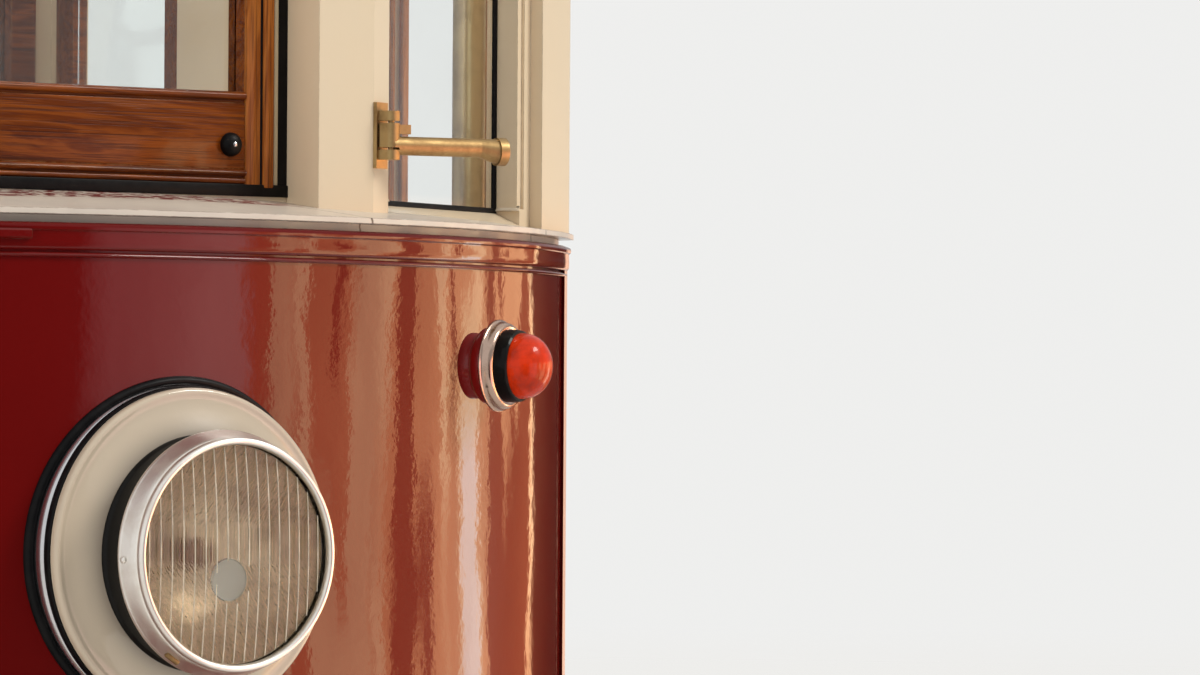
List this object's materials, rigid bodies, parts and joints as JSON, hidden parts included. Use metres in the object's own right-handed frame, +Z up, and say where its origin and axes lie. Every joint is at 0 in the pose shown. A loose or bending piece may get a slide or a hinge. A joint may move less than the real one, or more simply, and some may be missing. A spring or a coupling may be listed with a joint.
{
  "type": "double-ended two-axle motor tram",
  "caption": "Vintage two-axle electric tram with arc-shaped dashes, round headlights, folding entrance doors, sliding saloon doors, a roof bow collector and wheelsets that turn.",
  "frame": {"origin": "middle of the car, at the lowest point of the wheel flanges", "axes": "X across the car, +Y towards the rear end (the pictured front end faces -Y), +Z up"},
  "size_m": [2.22, 9.83, 4.973],
  "materials": {
    "benches": "varnished slats",
    "black_steel": "black paint, greasy",
    "brass": "old brass, dull",
    "bumper": "cream paint, scuffed",
    "cast_steel": "dusty cast steel",
    "chrome": "polished chrome",
    "collector": "dark grey paint",
    "controllers": "black enamel",
    "cream_frames": "cream gloss paint, hand brushed",
    "door_paint": "cream paint above, red panel below",
    "door_track": "dull steel",
    "glass": "clear window glass",
    "lamp_drum": "black enamel",
    "lamp_glass": "clear fluted lens",
    "lamp_plate": "cream gloss enamel",
    "marker_cup": "red cup with a chrome ring",
    "marker_lens": "orange-red glass",
    "platform_floors": "worn slatted boards",
    "poles": "yellow-cream enamel",
    "red_panels": "gloss red coach paint, slightly orange-peeled",
    "roof": "pale grey-beige roof paint",
    "roof_planks": "weathered planks and painted frame",
    "rubber": "black rubber",
    "saloon_floor": "worn boards",
    "sill": "white paint, worn to red and grey at the edges",
    "step_wood": "bare oak boards on steel",
    "underframe": "black frame paint, dusty",
    "varnished_wood": "glossy red-brown varnish",
    "wheel_steel": "bright tread, rusty web"
  },
  "bodies": {
    "car_body": {"axle_boxes": "cast_steel", "benches": "benches", "brake_columns": "brass", "brake_gear": "cast_steel", "bumpers": "bumper", "collector_base": "roof_planks", "controllers": "controllers", "couplers": "black_steel", "door_tracks": "door_track", "end_sills": "sill", "equipment_boxes": "black_steel", "front_bulkhead": "varnished_wood", "front_dash": "red_panels", "front_window_wall": "cream_frames", "grab_poles": "poles", "headlight_bezels": "chrome", "headlight_drums": "lamp_drum", "headlight_gaskets": "rubber", "headlight_glasses": "lamp_glass", "headlight_plates": "lamp_plate", "leaf_springs": "cast_steel", "left_side_panel": "red_panels", "left_window_wall": "cream_frames", "lifeguards": "step_wood", "marker_lamps": "marker_cup", "marker_lenses": "marker_lens", "mirror_arms": "brass", "motors": "cast_steel", "platform_floors": "platform_floors", "platform_sides": "cream_frames", "rear_bulkhead": "varnished_wood", "rear_dash": "red_panels", "rear_window_wall": "cream_frames", "right_side_panel": "red_panels", "right_window_wall": "cream_frames", "roof": "roof", "saloon_floor": "saloon_floor", "steps": "step_wood", "truck_frame": "black_steel", "underframe": "underframe", "window_glass": "glass", "window_sashes": "varnished_wood"},
    "front_wheelset": {"front_wheelset": "wheel_steel"},
    "rear_wheelset": {"rear_wheelset": "wheel_steel"},
    "front_bulkhead_door": {"front_bulkhead_door": "varnished_wood"},
    "rear_bulkhead_door": {"rear_bulkhead_door": "varnished_wood"},
    "collector_bow": {"collector_bow": "collector"},
    "front_right_door_inner_leaf": {"front_right_door_inner_leaf": "door_paint"},
    "front_right_door_outer_leaf": {"front_right_door_outer_leaf": "door_paint"},
    "front_left_door_inner_leaf": {"front_left_door_inner_leaf": "door_paint"},
    "front_left_door_outer_leaf": {"front_left_door_outer_leaf": "door_paint"},
    "rear_left_door_inner_leaf": {"rear_left_door_inner_leaf": "door_paint"},
    "rear_left_door_outer_leaf": {"rear_left_door_outer_leaf": "door_paint"},
    "rear_right_door_inner_leaf": {"rear_right_door_inner_leaf": "door_paint"},
    "rear_right_door_outer_leaf": {"rear_right_door_outer_leaf": "door_paint"}
  },
  "joints": [
    {"name": "front_axle_turn", "type": "hinge", "parent": "car_body", "child": "front_wheelset", "pos_m": [0, -1.5, 0.412], "axis": [1, 0, 0], "continuous": true},
    {"name": "rear_axle_turn", "type": "hinge", "parent": "car_body", "child": "rear_wheelset", "pos_m": [0, 1.5, 0.412], "axis": [1, 0, 0], "continuous": true},
    {"name": "front_right_door_fold", "type": "hinge", "parent": "car_body", "child": "front_right_door_inner_leaf", "pos_m": [0.93775, -3.46027, 0.776], "axis": [0, 0, -1], "range_deg": [0, 84]},
    {"name": "front_right_leaf_fold", "type": "hinge", "parent": "front_right_door_inner_leaf", "child": "front_right_door_outer_leaf", "pos_m": [0.9314, -3.80691, 0.776], "axis": [0, 0, 1], "range_deg": [0, 168]},
    {"name": "front_left_door_fold", "type": "hinge", "parent": "car_body", "child": "front_left_door_inner_leaf", "pos_m": [-0.93775, -3.46027, 0.776], "axis": [0, 0, 1], "range_deg": [0, 84]},
    {"name": "front_left_leaf_fold", "type": "hinge", "parent": "front_left_door_inner_leaf", "child": "front_left_door_outer_leaf", "pos_m": [-0.9314, -3.80691, 0.776], "axis": [0, 0, -1], "range_deg": [0, 168]},
    {"name": "rear_left_door_fold", "type": "hinge", "parent": "car_body", "child": "rear_left_door_inner_leaf", "pos_m": [-0.93775, 3.46027, 0.776], "axis": [0, 0, -1], "range_deg": [0, 84]},
    {"name": "rear_left_leaf_fold", "type": "hinge", "parent": "rear_left_door_inner_leaf", "child": "rear_left_door_outer_leaf", "pos_m": [-0.9314, 3.80691, 0.776], "axis": [0, 0, 1], "range_deg": [0, 168]},
    {"name": "rear_right_door_fold", "type": "hinge", "parent": "car_body", "child": "rear_right_door_inner_leaf", "pos_m": [0.93775, 3.46027, 0.776], "axis": [0, 0, 1], "range_deg": [0, 84]},
    {"name": "rear_right_leaf_fold", "type": "hinge", "parent": "rear_right_door_inner_leaf", "child": "rear_right_door_outer_leaf", "pos_m": [0.9314, 3.80691, 0.776], "axis": [0, 0, -1], "range_deg": [0, 168]},
    {"name": "front_bulkhead_slide", "type": "slide", "parent": "car_body", "child": "front_bulkhead_door", "axis": [1, 0, 0], "range_m": [0, 0.64]},
    {"name": "rear_bulkhead_slide", "type": "slide", "parent": "car_body", "child": "rear_bulkhead_door", "axis": [-1, 0, 0], "range_m": [0, 0.64]},
    {"name": "collector_raise", "type": "hinge", "parent": "car_body", "child": "collector_bow", "pos_m": [0, 0, 3.215], "axis": [-1, 0, 0], "range_deg": [-20, 56]}
  ],
  "couplings": [
    {"joint": "front_right_leaf_fold", "follows": "front_right_door_fold", "ratio": 2},
    {"joint": "front_left_leaf_fold", "follows": "front_left_door_fold", "ratio": 2},
    {"joint": "rear_left_leaf_fold", "follows": "rear_left_door_fold", "ratio": 2},
    {"joint": "rear_right_leaf_fold", "follows": "rear_right_door_fold", "ratio": 2}
  ]
}
